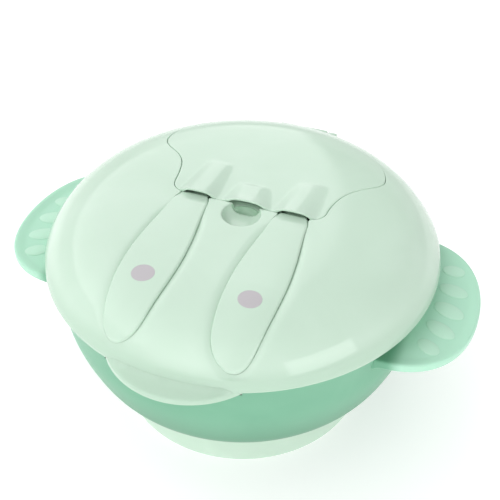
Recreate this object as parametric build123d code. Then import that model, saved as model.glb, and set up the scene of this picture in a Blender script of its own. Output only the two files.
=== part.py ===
from build123d import *
import math
import os

# Baby suction bowl: bowl with two ear handles, push-on lid that stores a spoon and a fork, and a suction base.
# Millimetres. Origin at the bottom centre of the suction cup, +Z up, -Y the front (pull tab), +X the right ear.

# ---- driving dimensions ----
rim_z = 62.7            # height of the lid's lower edge
lid_r = 70.0            # lid outer radius
lid_wall = 2.5          # straight part of the lid's edge
dome_h = 15.5           # rise of the dome above the straight part
dome_p = 9.1            # dome exponent: flat top, tight shoulder
lid_t = 2.2             # lid shell thickness
bowl_t = 2.2            # bowl wall thickness
cover_t = 1.8           # utensil cover thickness
flap_lop = 1.8          # the cover's left wing is this much narrower than its right one
seat_gap = 0.25         # cover to its seat
seam_gap = 0.35         # cover to the lid all round
rear_gap = 0.95         # cover to the lid along the rear seam, which swings back as it opens
chan_depth = 3.6        # handle channel depth
handle_drop = 3.2       # underside of the handles below the dome
handle_proud = 0.35     # handles stand this much above the dome
side_gap = 0.35         # handle to channel wall
utensil_x = 18.2        # centreline of each utensil
dish_x, dish_y, dish_r, dish_depth = 0.5, -5.0, 7.2, 3.2   # finger dish in front of the cover's middle arch
arch_rise = 2.3         # height of the cover's arches
hinge_y, hinge_z = 71.8, 3.4   # hinge axis, height from the lid's lower edge
barrel_r, pin_r, pin_clear = 2.4, 1.2, 0.05
barrel_half = 9.8
barrel_room = 1.1       # lid to barrel under the cover's tongue, whose rear edge swings through here
ear_c = (85.66, -5.28, -22.5, 11.8, -174.2)     # right ear outline: radius as a polynomial of the angle; the left ear is its mirror image
ear_a0, ear_a1 = -0.545, 0.530
ear_top, ear_floor, ear_bottom = -5.2, -6.6, -8.6   # heights from the lid's lower edge
ear_lip = 2.6
pad_r = 75.6            # grip pads: centre radius
pad_at = (-16.4, -9.2, -1.6, 6.3, 14.2)      # angular place of each pad, front to rear, degrees
pad_turn = (-33.0, -28.5, -23.0, -12.5, -4.0)   # direction of each pad's long axis, degrees
pad_len = (4.3, 5.5, 5.6, 5.2, 3.9)
pad_wide = (2.85, 3.1, 3.3, 3.05, 2.85)
base_r = 46.4           # suction cup radius on the table

os.makedirs("parts", exist_ok=True)


def dome_z(r):
    return lid_wall + dome_h * (1 - (min(r, lid_r) / lid_r) ** dome_p)


def dome_face(r_out, wall, h, z0):
    """Half section under the dome profile, from z0."""
    k = [0, 0.25, 0.45, 0.6, 0.7, 0.77, 0.83, 0.88, 0.92, 0.955, 0.98, 1.0]
    pts = [(r_out * u, wall + h * (1 - u ** dome_p)) for u in k]
    with BuildSketch(Plane.XZ) as s:
        with BuildLine():
            Polyline((0, wall + h), (0, z0), (r_out, z0), (r_out, wall))
            Spline(*reversed(pts), tangents=[(-r_out / (h * dome_p) * 1.0, 1.0), (-1, 0)])
        make_face()
    return s.sketch


def dome_body(r_out, wall, h, z0):
    """Solid of revolution under the dome profile, from z0."""
    return revolve(dome_face(r_out, wall, h, z0), Axis.Z, 360)


def face(points):
    """Closed half section from (radius, height) points."""
    with BuildSketch(Plane.XZ) as s:
        with BuildLine():
            Polyline(*points, close=True)
        make_face()
    return s.sketch


def ring(points):
    with BuildSketch(Plane.XZ) as s:
        with BuildLine():
            Polyline(*points, close=True)
        make_face()
    return revolve(s.sketch, Axis.Z, 360)


def prism(points, z0, z1, smooth=False):
    """Vertical prism over a closed outline."""
    with BuildSketch(Plane.XY.offset(z0)) as s:
        with BuildLine():
            if smooth:
                Spline(*points, periodic=True)
            else:
                Polyline(*points, close=True)
        make_face()
    return extrude(s.sketch, z1 - z0)


def bar_x(points, x0, x1):
    """Prism along X over a closed outline given as (y, z)."""
    with BuildSketch(Plane.YZ.offset(x0)) as s:
        with BuildLine():
            Polyline(*points, close=True)
        make_face()
    return extrude(s.sketch, x1 - x0)


def up(z):
    return Pos(0, 0, z)


def save(shape, name):
    shape.label = name
    export_step(shape, "parts/" + name + ".step")


# ---- bowl: shell of revolution with a foot ring ----
bowl_out = [(42.0, 11.2), (46.6, 13.6), (51.6, 17.7), (58.2, 24.7), (61.9, 32.7), (64.8, 42.7), (65.8, 52.7), (66.8, 61.2)]
bowl_in = [(40.0, 13.6), (45.0, 15.6), (49.3, 19.0), (55.8, 25.8), (59.6, 33.2), (62.5, 42.9), (63.6, 52.8), (64.6, 61.2)]
with BuildSketch(Plane.XZ) as s:
    with BuildLine():
        Polyline((0, 13.4), (0, 11.2), (42.0, 11.2))
        Spline(*bowl_out, tangents=[(2.2, 0.8), (0.1, 1)])
        Polyline((66.8, 61.2), (67.2, 61.9), (67.2, 62.6), (66.4, rim_z + 0.8), (65.2, rim_z + 0.8), (64.6, 62.9), (64.6, 61.2))
        Spline(*reversed(bowl_in), tangents=[(-0.1, -1), (-2.2, -0.6)])
        Polyline((40.0, 13.6), (38.0, 13.4), (0, 13.4))
    make_face()
bowl = revolve(s.sketch, Axis.Z, 360)
bowl += ring([(31.6, 6.95), (34.7, 6.95), (34.7, 11.4), (31.6, 11.4)])

with BuildSketch(Plane.XZ) as s:
    with BuildLine():
        Polyline((0, 70), (0, 13.4), (38.0, 13.4), (40.0, 13.6))
        Spline(*bowl_in, tangents=[(2.2, 0.6), (0.1, 1)])
        Polyline((64.6, 61.2), (64.6, 70), (0, 70))
    make_face()
bowl_hollow = revolve(s.sketch, Axis.Z, 360)


def ear_r(phi):
    return sum(c * phi ** k for k, c in enumerate(ear_c))


def ear_outline(inset):
    """Closed outline of the right ear, moved in by inset, from the bowl's wall outwards."""
    n = 18
    out = []
    for i in range(n + 1):
        phi = ear_a0 + (ear_a1 - ear_a0) * i / n
        r = ear_r(phi)
        x, y = r * math.cos(phi), r * math.sin(phi)
        e = 1e-4
        r2 = ear_r(phi + e)
        tx, ty = r2 * math.cos(phi + e) - x, r2 * math.sin(phi + e) - y
        m = math.hypot(tx, ty)
        out.append((x - ty / m * inset, y + tx / m * inset))
    return out


def ear_prism(inset, z0, z1, r_in):
    pts = ear_outline(inset)
    with BuildSketch(Plane.XY.offset(z0)) as s:
        with BuildLine():
            Spline(*pts)
            Polyline(pts[-1], (r_in, pts[-1][1]), (r_in, pts[0][1]), pts[0])
        make_face()
    return extrude(s.sketch, z1 - z0)


def pad(i, grow, z0, z1):
    a = math.radians(pad_at[i])
    p = extrude(Ellipse(pad_len[i] + grow, pad_wide[i] + grow), z1 - z0)
    return Pos(pad_r * math.cos(a), pad_r * math.sin(a), z0) * (Rot(0, 0, pad_turn[i]) * p)


ear = ear_prism(0.0, rim_z + ear_bottom, rim_z + ear_top, 50.0)
dish = ear_prism(ear_lip, rim_z + ear_floor, rim_z + ear_top + 1, 50.0)
dish = dish - Cylinder(66.0, 200)
ear = ear - dish
pads = [pad(i, 0.0, rim_z + ear_floor - 0.7, rim_z + ear_floor + 0.55) for i in range(5)]
for q in pads:
    ear = ear - q
left_ear = mirror(ear, Plane.YZ)
bowl = bowl + (ear - bowl_hollow) + (left_ear - bowl_hollow)
save(bowl, "bowl_shell")
save(Compound(children=[Rot(0, 0, 0) * q for q in pads]), "right_grip_pads")
save(Compound(children=[mirror(q, Plane.YZ) for q in pads]), "left_grip_pads")

# ---- suction base: soft cup with a stiff hub ring that grips the bowl's foot ----
cup = ring([(0, 5.2), (30.0, 5.0), (38.0, 3.6), (41.5, 1.9), (44.2, 0.0), (base_r, 0.0), (base_r - 0.1, 1.4), (45.6, 5.0), (44.4, 9.4), (43.6, 10.4),
            (42.4, 10.9), (40.2, 10.9), (39.3, 10.2), (39.3, 6.6), (30.0, 6.6), (0, 6.9)])
save(cup, "suction_cup")
hub = ring([(35.05, 6.6), (39.3, 6.6), (39.3, 10.2), (38.9, 10.9), (35.4, 10.9), (35.05, 10.5)])
save(hub, "base_hub")

# ---- lid ----
deep = up(rim_z) * dome_body(lid_r, lid_wall, dome_h, -60.0)      # the same surface over a deep body, for cuts at a depth below the dome
# half section of the shell, with the plug skirt that enters the bowl's mouth and the seat that holds the seal ring
section = dome_face(lid_r, lid_wall, dome_h, 0.0) - dome_face(lid_r - lid_t, lid_wall - lid_t, dome_h, -1.0)
section += face([(61.5, -4.5), (63.2, -4.5), (63.2, 9.0), (61.5, 9.0)])
section += face([(63.0, 2.6), (68.2, 2.6), (68.2, 3.4), (66.8, 5.0), (63.0, 8.2)])
lid = up(rim_z) * revolve(section, Axis.Z, 360)

cover_half = [(0.0, 0.8), (11.0, 0.8), (18.0, 0.6), (24.6, 1.1), (27.2, 2.4), (28.4, 4.8), (28.7, 8.6), (29.7, 13.0), (31.6, 17.6), (34.4, 21.4), (37.6, 24.4),
              (40.6, 26.9), (42.5, 29.6), (42.7, 32.6), (41.6, 36.4), (38.0, 43.0), (31.5, 51.2), (23.5, 58.2), (15.4, 63.0), (10.8, 65.8), (9.8, 68.2)]


def offset_half(pts, front, rear, tongue):
    """Moves the half outline outwards: by front along the front and sides, by rear along the rear seam, and widens the tongue."""
    out = []
    for i, (x, y) in enumerate(pts):
        a = pts[max(i - 1, 0)]
        b = pts[min(i + 1, len(pts) - 1)]
        tx, ty = b[0] - a[0], b[1] - a[1]
        m = math.hypot(tx, ty)
        w = 0.0 if y < 33 else min((y - 33) / 8.0, 1.0)
        g = front + (rear - front) * w if y < 66 else tongue
        nx, ny = ty / m, -tx / m
        if i == 0:
            nx, ny = 0.0, -1.0
        out.append((x + nx * g, y + ny * g))
    return out


def lop(y):
    return flap_lop * max(0.0, min(1.0, (62.0 - y) / 12.0))


def cover_outline(front, rear, tongue, y_end):
    h = offset_half(cover_half, front, rear, tongue)
    h[-1] = (h[-1][0], y_end)
    left = [(-(x - lop(y)), y) for x, y in h]
    return h, left


def cover_prism(front, rear, tongue, y_end, z0, z1):
    h, left = cover_outline(front, rear, tongue, y_end)
    with BuildSketch(Plane.XY.offset(z0)) as s:
        with BuildLine():
            Polyline(left[4], left[3], left[2], left[1], h[1], h[2], h[3], h[4])
            Spline(*h[4:19])
            Polyline(*h[18:])
            Line(h[-1], left[-1])
            Polyline(*reversed(left[18:]))
            Spline(*reversed(left[4:19]))
        make_face()
    return extrude(s.sketch, z1 - z0)


leaf = [(-64.5, 1.7), (-63.8, 3.6), (-62.2, 5.3), (-60.0, 6.4), (-57.0, 7.2), (-54.0, 7.75), (-50.0, 8.3), (-46.0, 8.65), (-42.0, 8.95), (-38.0, 9.15),
        (-34.0, 9.22), (-30.0, 9.15), (-26.0, 8.8), (-22.0, 8.4), (-18.0, 7.9), (-14.0, 7.4), (-10.0, 6.9), (-6.0, 6.5), (-2.0, 6.0), (0.6, 5.0)]


def leaf_prism(grow, z0, z1, y_end):
    """Handle outline in plan: a long leaf with a round tail."""
    right = [(w + grow, y - (grow if y < -60 else 0)) for y, w in leaf]
    left = [(-x, y) for x, y in reversed(right)]
    with BuildSketch(Plane.XY.offset(z0)) as s:
        with BuildLine():
            Spline(*right)
            Polyline(right[-1], (right[-1][0], y_end), (left[0][0], y_end), left[0])
            Spline(*left)
            Line(left[-1], right[0])
        make_face()
    return extrude(s.sketch, z1 - z0)


# walls under the handle channels and the utensil tray
chan_body = leaf_prism(2.2, rim_z + 0.7, rim_z + 25, 6.0)
under = up(-(chan_depth + 1.3)) * deep
below_skin = (up(-0.9) * deep) & Cylinder(69.1, 400)
for sx in (-1, 1):
    lid += ((Pos(sx * utensil_x, 0, 0) * chan_body) & below_skin) - under
tray_floor = 8.5
tray_half = [(25.6, 5.2), (26.4, 8.8), (27.4, 13.4), (29.2, 18.6), (32.2, 23.2), (36.0, 26.4), (38.6, 28.6), (39.4, 31.2), (38.9, 35.6), (36.0, 41.2), (30.2, 47.6), (24.0, 52.0)]


def tray_prism(grow, z0, z1):
    """Plan of the utensil tray: the cover's outline moved in, so that the cover rests on a ledge."""
    half = []
    for k, (x, y) in enumerate(tray_half):
        a, b = tray_half[max(k - 1, 0)], tray_half[min(k + 1, len(tray_half) - 1)]
        tx, ty = b[0] - a[0], b[1] - a[1]
        m = math.hypot(tx, ty)
        half.append((x + ty / m * grow, y - tx / m * grow - (grow if k == 0 else 0) + (grow if k == len(tray_half) - 1 else 0)))
    return prism(half + [(-(x - lop(y)), y) for x, y in reversed(half)], z0, z1)


tray_out = tray_prism(1.6, rim_z + tray_floor - 1.5, rim_z + 17)
lid += tray_out & (up(-1.0) * deep)
lid += Pos(dish_x, dish_y, rim_z + 12.6) * extrude(Circle(9.2), 4.6)

# front pull tab
tab_side = [(-60.0, rim_z - 1.8), (-77.0, rim_z - 1.8), (-77.0, rim_z + 0.25), (-75.6, rim_z + 0.25), (-69.6, rim_z + 2.1), (-60.0, rim_z + 2.1)]
tab = (Pos(0, -46.7, rim_z - 1.8) * extrude(Circle(29.3), 4.2)) & bar_x(tab_side, -40, 40)
tab -= Cylinder(67.9, 400)
tab &= Pos(0, -80, rim_z) * Box(80, 50, 10)
lid += tab

# hinge lugs at the rear
lug_side = [(68.3, rim_z + 0.35), (hinge_y + 1.2, rim_z + 0.6), (hinge_y + 2.3, rim_z + 1.8), (hinge_y + 2.6, rim_z + 3.4), (hinge_y + 2.0, rim_z + 5.2),
            (hinge_y + 0.4, rim_z + 6.0), (66.9, rim_z + 6.6), (66.9, rim_z + 4.2)]
for x0 in (-13.9, 10.3):
    lug = bar_x(lug_side, x0, x0 + 3.6)
    lid = lid + lug

# cuts: cover seat, tray, channels, finger dish, hinge
seat_cut = cover_prism(seam_gap, rear_gap, seam_gap, hinge_y + 8, rim_z - 5, rim_z + 30) - (up(-(cover_t + seat_gap)) * deep)
lid -= seat_cut
tray_cut = tray_prism(0.0, rim_z + tray_floor, rim_z + 30)
lid -= tray_cut
chan_leaf = leaf_prism(side_gap, rim_z - 2, rim_z + 30, 6.0)
for sx in (-1, 1):
    lid -= (Pos(sx * utensil_x, 0, 0) * chan_leaf) - (up(-chan_depth) * deep)
    lid -= Pos(sx * utensil_x, 4.6, rim_z + 16) * Box(11.6, 3.4, 6.0)
ball = (dish_r ** 2 + dish_depth ** 2) / (2 * dish_depth)
lid -= Pos(dish_x, dish_y, rim_z + lid_wall + dome_h - dish_depth + ball) * Sphere(ball)
lid -= Pos(0, hinge_y, rim_z + hinge_z) * Rot(0, 90, 0) * Cylinder(barrel_r + barrel_room, 2 * barrel_half + 0.7)
lid -= Pos(0, hinge_y, rim_z + hinge_z) * Rot(0, 90, 0) * Cylinder(pin_r + pin_clear, 60)
save(lid, "lid_shell")

seal = ring([(63.4, 1.1), (66.1, 1.1), (66.4, 1.5), (66.4, 2.55), (63.4, 2.55)])
save(up(rim_z) * seal, "lid_seal_ring")

# ---- utensil cover ----
cover_plan = cover_prism(0.0, 0.0, 0.0, hinge_y + 0.5, rim_z - 2, rim_z + 30)
cover = (cover_plan & deep) - (up(-cover_t) * deep)
for cx, w, length, rise in ((-utensil_x + 0.35, 5.95, 23.0, arch_rise), (0.7, 7.4, 11.0, arch_rise * 0.85), (utensil_x - 0.35, 5.95, 23.0, arch_rise)):
    # a raised arch that fades towards the back: the cone-like body over it, hollow underneath
    zc = rim_z + lid_wall + dome_h
    arch_out = [(cx - w - 1.0, -0.4), (cx - w * 0.62, rise * 0.62), (cx - w * 0.3, rise * 0.93), (cx, rise), (cx + w * 0.3, rise * 0.93), (cx + w * 0.62, rise * 0.62), (cx + w + 1.0, -0.4)]
    with BuildSketch(Plane.XZ.offset(-0.7)) as s0:
        with BuildLine():
            Spline(*[(x, zc + z) for x, z in arch_out])
            Polyline((cx + w + 1.0, zc - 0.4), (cx + w + 1.0, zc - 1.2), (cx - w - 1.0, zc - 1.2), (cx - w - 1.0, zc - 0.4))
        make_face()
    with BuildSketch(Plane.XZ.offset(-0.7 - length)) as s1:
        with BuildLine():
            Spline(*[(cx + (x - cx) * 0.7, zc - 0.3 + z * 0.05) for x, z in arch_out])
            Polyline((cx + (w + 1.0) * 0.7, zc - 0.32), (cx + (w + 1.0) * 0.7, zc - 1.2), (cx - (w + 1.0) * 0.7, zc - 1.2), (cx - (w + 1.0) * 0.7, zc - 0.32))
        make_face()
    cover += loft([s0.sketch, s1.sketch]) & cover_plan
    hollow = [(cx - w, -3.5), (cx - w, -1.3), (cx - w * 0.62, rise * 0.62 - 1.5), (cx, rise - 1.5), (cx + w * 0.62, rise * 0.62 - 1.5), (cx + w, -1.3), (cx + w, -3.5)]
    with BuildSketch(Plane.XZ.offset(1.0)) as s0:
        with BuildLine():
            Polyline(*[(x, zc + z) for x, z in hollow], close=True)
        make_face()
    with BuildSketch(Plane.XZ.offset(-length * 0.8)) as s1:
        with BuildLine():
            Polyline(*[(cx + (x - cx) * 0.7, zc - 1.9 + (z + 1.5) * 0.05 if z > -3 else zc - 3.5) for x, z in hollow], close=True)
        make_face()
    cover -= loft([s0.sketch, s1.sketch])
cover -= Pos(0, 70.0, rim_z + 0.7) * Box(30, 6.0, 3.0)      # the tongue's lower rear edge, clear of the lid as it swings
cover += Pos(0, hinge_y, rim_z + hinge_z) * Rot(0, 90, 0) * Cylinder(barrel_r, 2 * barrel_half)
cover += Pos(0, hinge_y, rim_z + hinge_z) * Rot(0, 90, 0) * Cylinder(pin_r, 2 * 13.6)
save(cover, "utensil_cover")

# ---- utensils: stiff handles with soft heads, drawn on the right-hand side ----
zt = rim_z + lid_wall + dome_h
right = Pos(utensil_x, 0, 0)
grip = ((right * leaf_prism(0.0, rim_z - 2, rim_z + 30, 1.3)) & (up(handle_proud) * deep) & Cylinder(69.5, 400)) - (up(-handle_drop) * deep)
# the grip dips under the cover's arch
grip -= right * bar_x([(-7.0, zt + 2), (-7.0, zt + 0.4), (-3.0, zt - 0.7), (0.0, zt - 1.05), (3.0, zt - 1.15), (3.0, zt + 2)], -12, 12)
neck = bar_x([(-2.0, zt - 3.15), (3.6, zt - 3.15), (12.0, zt - 6.3), (19.1, zt - 6.3), (19.1, zt - 4.5), (13.0, zt - 4.2), (5.0, zt - 1.9), (0.5, zt - 1.3), (-2.0, zt - 1.2)], -12, 12)
neck_plan = [(-5.3, -2), (5.3, -2), (4.6, 1.5), (3.8, 6.5), (3.5, 14.2), (1.9, 14.2), (1.8, 19.1), (-1.8, 19.1), (-1.9, 14.2), (-3.5, 14.2), (-3.8, 6.5), (-4.6, 1.5)]
handle = grip + (right * (neck & prism(neck_plan, rim_z, rim_z + 30)))

# spoon head
rim = zt - 3.8
spoon_head = Pos(0, 33.0, rim) * scale(Sphere(1.0), by=(12.6, 18.0, 5.2)) - Pos(0, 33, rim + 10) * Box(60, 60, 20)
spoon_head += bar_x([(14.2, zt - 6.9), (25.0, zt - 8.2), (25.0, rim - 0.4), (14.2, rim)], -4.6, 4.6) & prism([(-3.6, 14.2), (3.6, 14.2), (4.6, 25.0), (-4.6, 25.0)], rim_z, rim_z + 40)
spoon_head -= Pos(0, 33.6, rim) * scale(Sphere(1.0), by=(11.3, 16.1, 4.0))
spoon_head = right * spoon_head - handle

# fork head: a shallow curved plate with three tines
fork_plan = prism([(-3.6, 14.2), (3.6, 14.2), (4.4, 19.0), (9.0, 25.5), (9.9, 31.0), (9.4, 43.0), (7.9, 47.2), (6.4, 43.0), (6.0, 34.0), (4.6, 32.4), (3.2, 34.0),
                   (1.9, 44.0), (0.0, 48.4), (-1.9, 44.0), (-3.2, 34.0), (-4.6, 32.4), (-6.0, 34.0), (-6.4, 43.0), (-7.9, 47.2), (-9.4, 43.0), (-9.9, 31.0), (-9.0, 25.5), (-4.4, 19.0)],
                  rim_z, rim_z + 40)
fork_side = bar_x([(14.2, zt - 6.9), (20.0, zt - 8.0), (30.0, zt - 8.9), (40.0, zt - 8.3), (50.0, zt - 6.5), (50.0, zt - 5.0), (40.0, zt - 6.5), (30.0, zt - 7.1), (22.0, zt - 6.2), (14.2, zt - 4.1)], -12, 12)
fork_head = (right * (fork_plan & fork_side)) - handle

save(mirror(handle, Plane.YZ), "spoon_handle")
save(mirror(spoon_head, Plane.YZ), "spoon_bowl")
save(handle, "fork_handle")
save(fork_head, "fork_tines")
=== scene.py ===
import math

import bmesh
import bpy
import numpy as np
from mathutils import Matrix, Vector
from mathutils.geometry import delaunay_2d_cdt


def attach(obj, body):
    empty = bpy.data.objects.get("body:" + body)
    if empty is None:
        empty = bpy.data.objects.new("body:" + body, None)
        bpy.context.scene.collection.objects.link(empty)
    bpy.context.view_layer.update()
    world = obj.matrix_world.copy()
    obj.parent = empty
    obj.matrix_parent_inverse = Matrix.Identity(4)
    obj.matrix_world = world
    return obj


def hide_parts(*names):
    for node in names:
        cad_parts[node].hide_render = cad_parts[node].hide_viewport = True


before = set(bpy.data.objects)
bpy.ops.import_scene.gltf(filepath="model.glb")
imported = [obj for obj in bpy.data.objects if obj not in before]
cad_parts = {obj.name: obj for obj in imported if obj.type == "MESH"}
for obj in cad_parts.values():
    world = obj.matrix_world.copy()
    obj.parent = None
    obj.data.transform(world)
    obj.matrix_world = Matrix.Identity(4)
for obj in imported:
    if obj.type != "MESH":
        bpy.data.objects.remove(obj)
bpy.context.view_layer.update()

# ---------------------------------------------------------------- sizes, in mm in the row frame
RIM = 62.7                                  # height of the lid's lower edge
LID_R, WALL, DH, DP = 70.0, 2.5, 15.5, 9.1  # lid radius, straight edge, dome rise, dome exponent
COVER_T, SEAT = 1.8, 2.05
UX = 18.2                                   # centreline of each utensil
HY, HZ = 71.8, 3.4                          # hinge axis, height from the lid's lower edge
ZT = WALL + DH                              # top of the dome above the lid's lower edge


def dome(rho):
    return WALL + DH * (1.0 - (np.minimum(rho, LID_R) / LID_R) ** DP)


def dome_xy(x, y):
    return dome(np.hypot(x, y))


# ---------------------------------------------------------------- curves
def catmull(pts, closed=True, n=10):
    p = np.asarray(pts, float)
    m = len(p)
    out = []
    for i in range(m if closed else m - 1):
        if closed:
            a, b, c, d = p[(i - 1) % m], p[i], p[(i + 1) % m], p[(i + 2) % m]
        else:
            b, c = p[i], p[i + 1]
            a = p[i - 1] if i > 0 else 2 * b - c
            d = p[i + 2] if i + 2 < m else 2 * c - b
        t1 = max(np.linalg.norm(b - a) ** 0.5, 1e-6)
        t2 = t1 + max(np.linalg.norm(c - b) ** 0.5, 1e-6)
        t3 = t2 + max(np.linalg.norm(d - c) ** 0.5, 1e-6)
        for k in range(n):
            t = t1 + (t2 - t1) * k / n
            a1 = (t1 - t) / t1 * a + t / t1 * b
            a2 = (t2 - t) / (t2 - t1) * b + (t - t1) / (t2 - t1) * c
            a3 = (t3 - t) / (t3 - t2) * c + (t - t2) / (t3 - t2) * d
            b1 = (t2 - t) / t2 * a1 + t / t2 * a2
            b2 = (t3 - t) / (t3 - t1) * a2 + (t - t1) / (t3 - t1) * a3
            out.append((t2 - t) / (t2 - t1) * b1 + (t - t1) / (t2 - t1) * b2)
    if not closed:
        out.append(p[-1])
    return np.array(out)


def resample(pts, step, closed=True):
    p = np.asarray(pts, float)
    q = np.vstack([p, p[:1]]) if closed else p
    seg = np.linalg.norm(np.diff(q, axis=0), axis=1)
    s = np.concatenate([[0], np.cumsum(seg)])
    n = max(8, int(round(s[-1] / step)))
    t = np.linspace(0, s[-1], n + 1)
    if closed:
        t = t[:-1]
    return np.stack([np.interp(t, s, q[:, k]) for k in range(q.shape[1])], 1)


def ccw(loop):
    x, y = loop[:, 0], loop[:, 1]
    area = np.sum(x * np.roll(y, -1) - np.roll(x, -1) * y)
    return loop if area > 0 else loop[::-1]


def soften(loop, times):
    """Rounds the corners of a closed loop of evenly spaced points."""
    p = loop.copy()
    for _ in range(times):
        p = p * 0.5 + (np.roll(p, 1, 0) + np.roll(p, -1, 0)) * 0.25
    return p


def out_normals(loop):
    t = np.roll(loop, -1, 0) - np.roll(loop, 1, 0)
    t = t / np.maximum(np.linalg.norm(t, axis=1, keepdims=True), 1e-9)
    return np.stack([t[:, 1], -t[:, 0]], 1)


def sdist(p, loop):
    """Distance from points to a closed loop, negative inside."""
    a, b = loop, np.roll(loop, -1, 0)
    ab = b - a
    l2 = np.maximum((ab ** 2).sum(1), 1e-12)
    out = np.empty(len(p))
    for i in range(0, len(p), 3000):
        q = p[i:i + 3000]
        ap = q[:, None, :] - a[None]
        t = np.clip((ap * ab[None]).sum(2) / l2[None], 0, 1)
        d = np.hypot(ap[:, :, 0] - t * ab[None, :, 0], ap[:, :, 1] - t * ab[None, :, 1]).min(1)
        up = (a[None, :, 1] > q[:, None, 1]) != (b[None, :, 1] > q[:, None, 1])
        with np.errstate(divide="ignore", invalid="ignore"):
            xc = a[None, :, 0] + (q[:, None, 1] - a[None, :, 1]) * ab[None, :, 0] / ab[None, :, 1]
        inside = ((up & (q[:, None, 0] < xc)).sum(1) % 2) == 1
        out[i:i + 3000] = np.where(inside, -d, d)
    return out


def smooth01(t):
    t = np.clip(t, 0, 1)
    return t * t * (3 - 2 * t)


def hexgrid(lo, hi, step):
    rows = []
    y, k = lo[1], 0
    while y <= hi[1]:
        x = np.arange(lo[0] + (step / 2 if k % 2 else 0), hi[0], step)
        rows.append(np.stack([x, np.full(len(x), y)], 1))
        y += step * 0.866
        k += 1
    return np.vstack(rows)


# ---------------------------------------------------------------- mesh building
class Shape:
    def __init__(self):
        self.v, self.f, self.n = [], [], 0

    def pts(self, a):
        a = np.asarray(a, float)
        i = np.arange(self.n, self.n + len(a))
        self.v.append(a)
        self.n += len(a)
        return i

    def ladder(self, a, b, closed=True):
        m = len(a)
        for i in range(m if closed else m - 1):
            j = (i + 1) % m
            self.f.append((int(a[i]), int(a[j]), int(b[j]), int(b[i])))

    def tris(self, idx, plan, keep=None, edges=()):
        """Triangulates plan points (their vertices are idx); keep(centroids) says which triangles stay."""
        res = delaunay_2d_cdt([Vector(p) for p in plan], list(edges), [], 0, 1e-7, True)
        verts, faces, orig = res[0], res[2], res[3]
        src = [o[0] if o else None for o in orig]
        tri = [tuple(f) for f in faces if all(src[k] is not None for k in f)]
        if keep is not None and tri:
            c = np.array([np.mean([verts[k] for k in f], axis=0) for f in tri])
            ok = keep(c)
            tri = [f for f, o in zip(tri, ok) if o]
        for f in tri:
            self.f.append(tuple(int(idx[src[k]]) for k in f))

    def add(self, other, matrix=None):
        v = np.vstack(other.v)
        if matrix is not None:
            m = np.array(matrix, float)
            v = v @ m[:3, :3].T + m[:3, 3]
        base = self.n
        self.pts(v)
        flip = matrix is not None and np.linalg.det(np.array(matrix, float)[:3, :3]) < 0
        for f in other.f:
            g = tuple(base + k for k in f)
            self.f.append(g[::-1] if flip else g)

    def build(self, name, body, slot, mat, replaces=(), weld=1e-5):
        me = bpy.data.meshes.new(name)
        me.from_pydata((np.vstack(self.v) * 0.001).tolist(), [], self.f)
        bm = bmesh.new()
        bm.from_mesh(me)
        bmesh.ops.remove_doubles(bm, verts=bm.verts, dist=weld * 0.001 * 10)
        bmesh.ops.dissolve_degenerate(bm, edges=bm.edges, dist=1e-8)
        loose = [v for v in bm.verts if not v.link_faces]
        if loose:
            bmesh.ops.delete(bm, geom=loose, context="VERTS")
        bmesh.ops.recalc_face_normals(bm, faces=bm.faces)
        bm.to_mesh(me)
        bm.free()
        me.validate()
        me.polygons.foreach_set("use_smooth", [True] * len(me.polygons))
        me.materials.append(mat)
        ob = bpy.data.objects.new(name, me)
        bpy.context.scene.collection.objects.link(ob)
        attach(ob, body)
        if replaces:
            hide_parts(*replaces)
        return ob


def offset_rows(loop, nrm, d):
    return loop + nrm * d


def slab(S, loop, top, bot, r=0.5, rb=0.3, fill=1.6, support=0.35, seg=5, lean=0.0):
    """Closed solid over a plan loop: top and bottom are height functions of x, y; r and rb round the upper and lower edges; lean draws the foot of the wall in. r and lean may differ from point to point."""
    loop = ccw(loop)
    n = out_normals(loop)
    rows = []
    r = np.broadcast_to(np.asarray(r, float), (len(loop),))
    lean = np.broadcast_to(np.asarray(lean, float), (len(loop),))

    def row(inset, z_fn, dz):
        p = loop - n * np.asarray(inset)[:, None]
        rows.append(S.pts(np.column_stack([p, z_fn(p[:, 0], p[:, 1]) + dz])))
        return p

    p0 = row(r + support, top, 0.0)
    top_idx, top_plan = rows[-1], p0
    for k in range(seg + 1):
        t = 0.5 * math.pi * k / seg
        row(r * (1 - math.sin(t)), top, -r * (1 - math.cos(t)))
    for k in range(seg + 1):
        t = 0.5 * math.pi * (1 - k / seg)
        row(rb * (1 - math.sin(t)) + lean, bot, rb * (1 - math.cos(t)))
    pb = row(rb + support + lean, bot, 0.0)
    bot_idx, bot_plan = rows[-1], pb
    for a, b in zip(rows[:-1], rows[1:]):
        S.ladder(a, b)
    for idx, plan, fn in ((top_idx, top_plan, top), (bot_idx, bot_plan, bot)):
        g = hexgrid(plan.min(0), plan.max(0), fill)
        g = g[sdist(g, plan) < -fill * 0.55]
        gi = S.pts(np.column_stack([g, fn(g[:, 0], g[:, 1])])) if len(g) else np.zeros(0, int)
        allp = np.vstack([plan, g]) if len(g) else plan
        m = len(plan)
        S.tris(np.concatenate([idx, gi]), allp, keep=lambda c, q=plan: sdist(c, q) < 0, edges=[(i, (i + 1) % m) for i in range(m)])


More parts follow.
